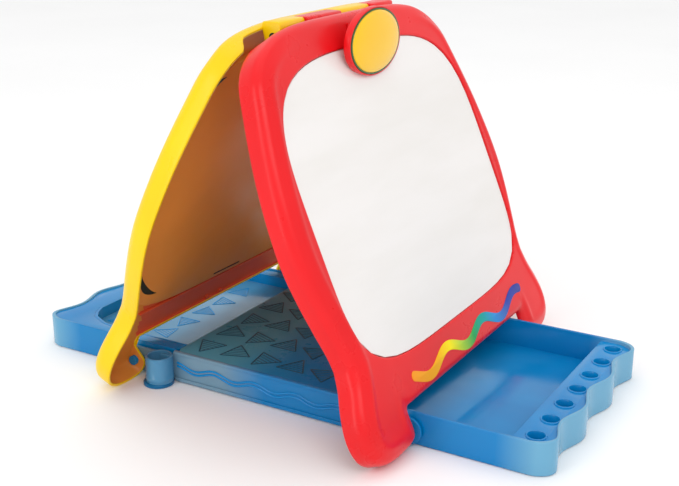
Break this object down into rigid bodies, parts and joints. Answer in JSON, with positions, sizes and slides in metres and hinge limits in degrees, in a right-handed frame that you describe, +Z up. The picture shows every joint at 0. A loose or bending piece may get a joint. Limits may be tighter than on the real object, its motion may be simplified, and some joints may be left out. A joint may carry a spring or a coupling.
{
  "type": "kids tabletop easel",
  "caption": "Folding double-sided tabletop easel for children, with a whiteboard and a chalkboard, paper clips, and marker and crayon trays that slide out.",
  "frame": {"origin": "on the floor, in the middle under the top hinge", "axes": "-Y towards the red front panel, +Y towards the yellow rear panel, +X to the right of someone facing the front panel, +Z up"},
  "size_m": [0.3344, 0.467, 0.299],
  "materials": {
    "red_plastic": "moulded, satin gloss",
    "yellow_plastic": "moulded, satin gloss",
    "blue_plastic": "translucent, clear gloss",
    "white_surface": "dry-erase film, smooth",
    "chalk_surface": "matt, fine tooth",
    "badge_dome": "high gloss",
    "printed_label": "printed rainbow film",
    "steel": "bright drawn wire"
  },
  "bodies": {
    "dock": {"dock_housing": "blue_plastic", "dock_deck": "blue_plastic", "pivot_pin_left": "blue_plastic", "pivot_pin_right": "blue_plastic"},
    "rear_panel": {"rear_shell": "yellow_plastic", "chalkboard": "chalk_surface", "hinge_rod": "steel", "rear_clip_bracket": "yellow_plastic", "rear_clip_pin": "steel", "rear_clip_spring": "steel", "rear_clip_screw_1": "steel", "rear_clip_screw_2": "steel"},
    "front_panel": {"front_shell": "red_plastic", "whiteboard": "white_surface", "squiggle_label": "printed_label", "front_clip_bracket": "red_plastic", "front_clip_pin": "steel", "front_clip_spring": "steel", "front_clip_screw_1": "steel", "front_clip_screw_2": "steel"},
    "front_clip": {"front_clip_lever": "red_plastic", "front_clip_badge": "badge_dome"},
    "rear_clip": {"rear_clip_lever": "yellow_plastic", "rear_clip_badge": "badge_dome"},
    "front_tray": {"front_tray": "blue_plastic"},
    "rear_tray": {"rear_tray": "blue_plastic"}
  },
  "joints": [
    {"name": "rear_fold", "type": "hinge", "parent": "dock", "child": "rear_panel", "pos_m": [0, 0.1258, 0.012], "axis": [-1, 0, 0], "range_deg": [0, 19.2]},
    {"name": "top_hinge", "type": "hinge", "parent": "rear_panel", "child": "front_panel", "pos_m": [0, 0, 0.283], "axis": [1, 0, 0], "range_deg": [0, 38.4]},
    {"name": "front_clip_press", "type": "hinge", "parent": "front_panel", "child": "front_clip", "pos_m": [0, -0.02976, 0.2789], "axis": [-1, 0, 0], "range_deg": [0, 13], "stiffness_Nm_per_rad": 0.4, "springref_deg": -17.19},
    {"name": "rear_clip_press", "type": "hinge", "parent": "rear_panel", "child": "rear_clip", "pos_m": [0, 0.02976, 0.2789], "axis": [1, 0, 0], "range_deg": [0, 13], "stiffness_Nm_per_rad": 0.4, "springref_deg": -17.19},
    {"name": "front_tray_slide", "type": "slide", "parent": "dock", "child": "front_tray", "axis": [0, -1, 0], "range_m": [0, 0.058]},
    {"name": "rear_tray_slide", "type": "slide", "parent": "dock", "child": "rear_tray", "axis": [0, 1, 0], "range_m": [0, 0.058]}
  ],
  "couplings": [
    {"joint": "top_hinge", "follows": "rear_fold", "ratio": 2}
  ]
}
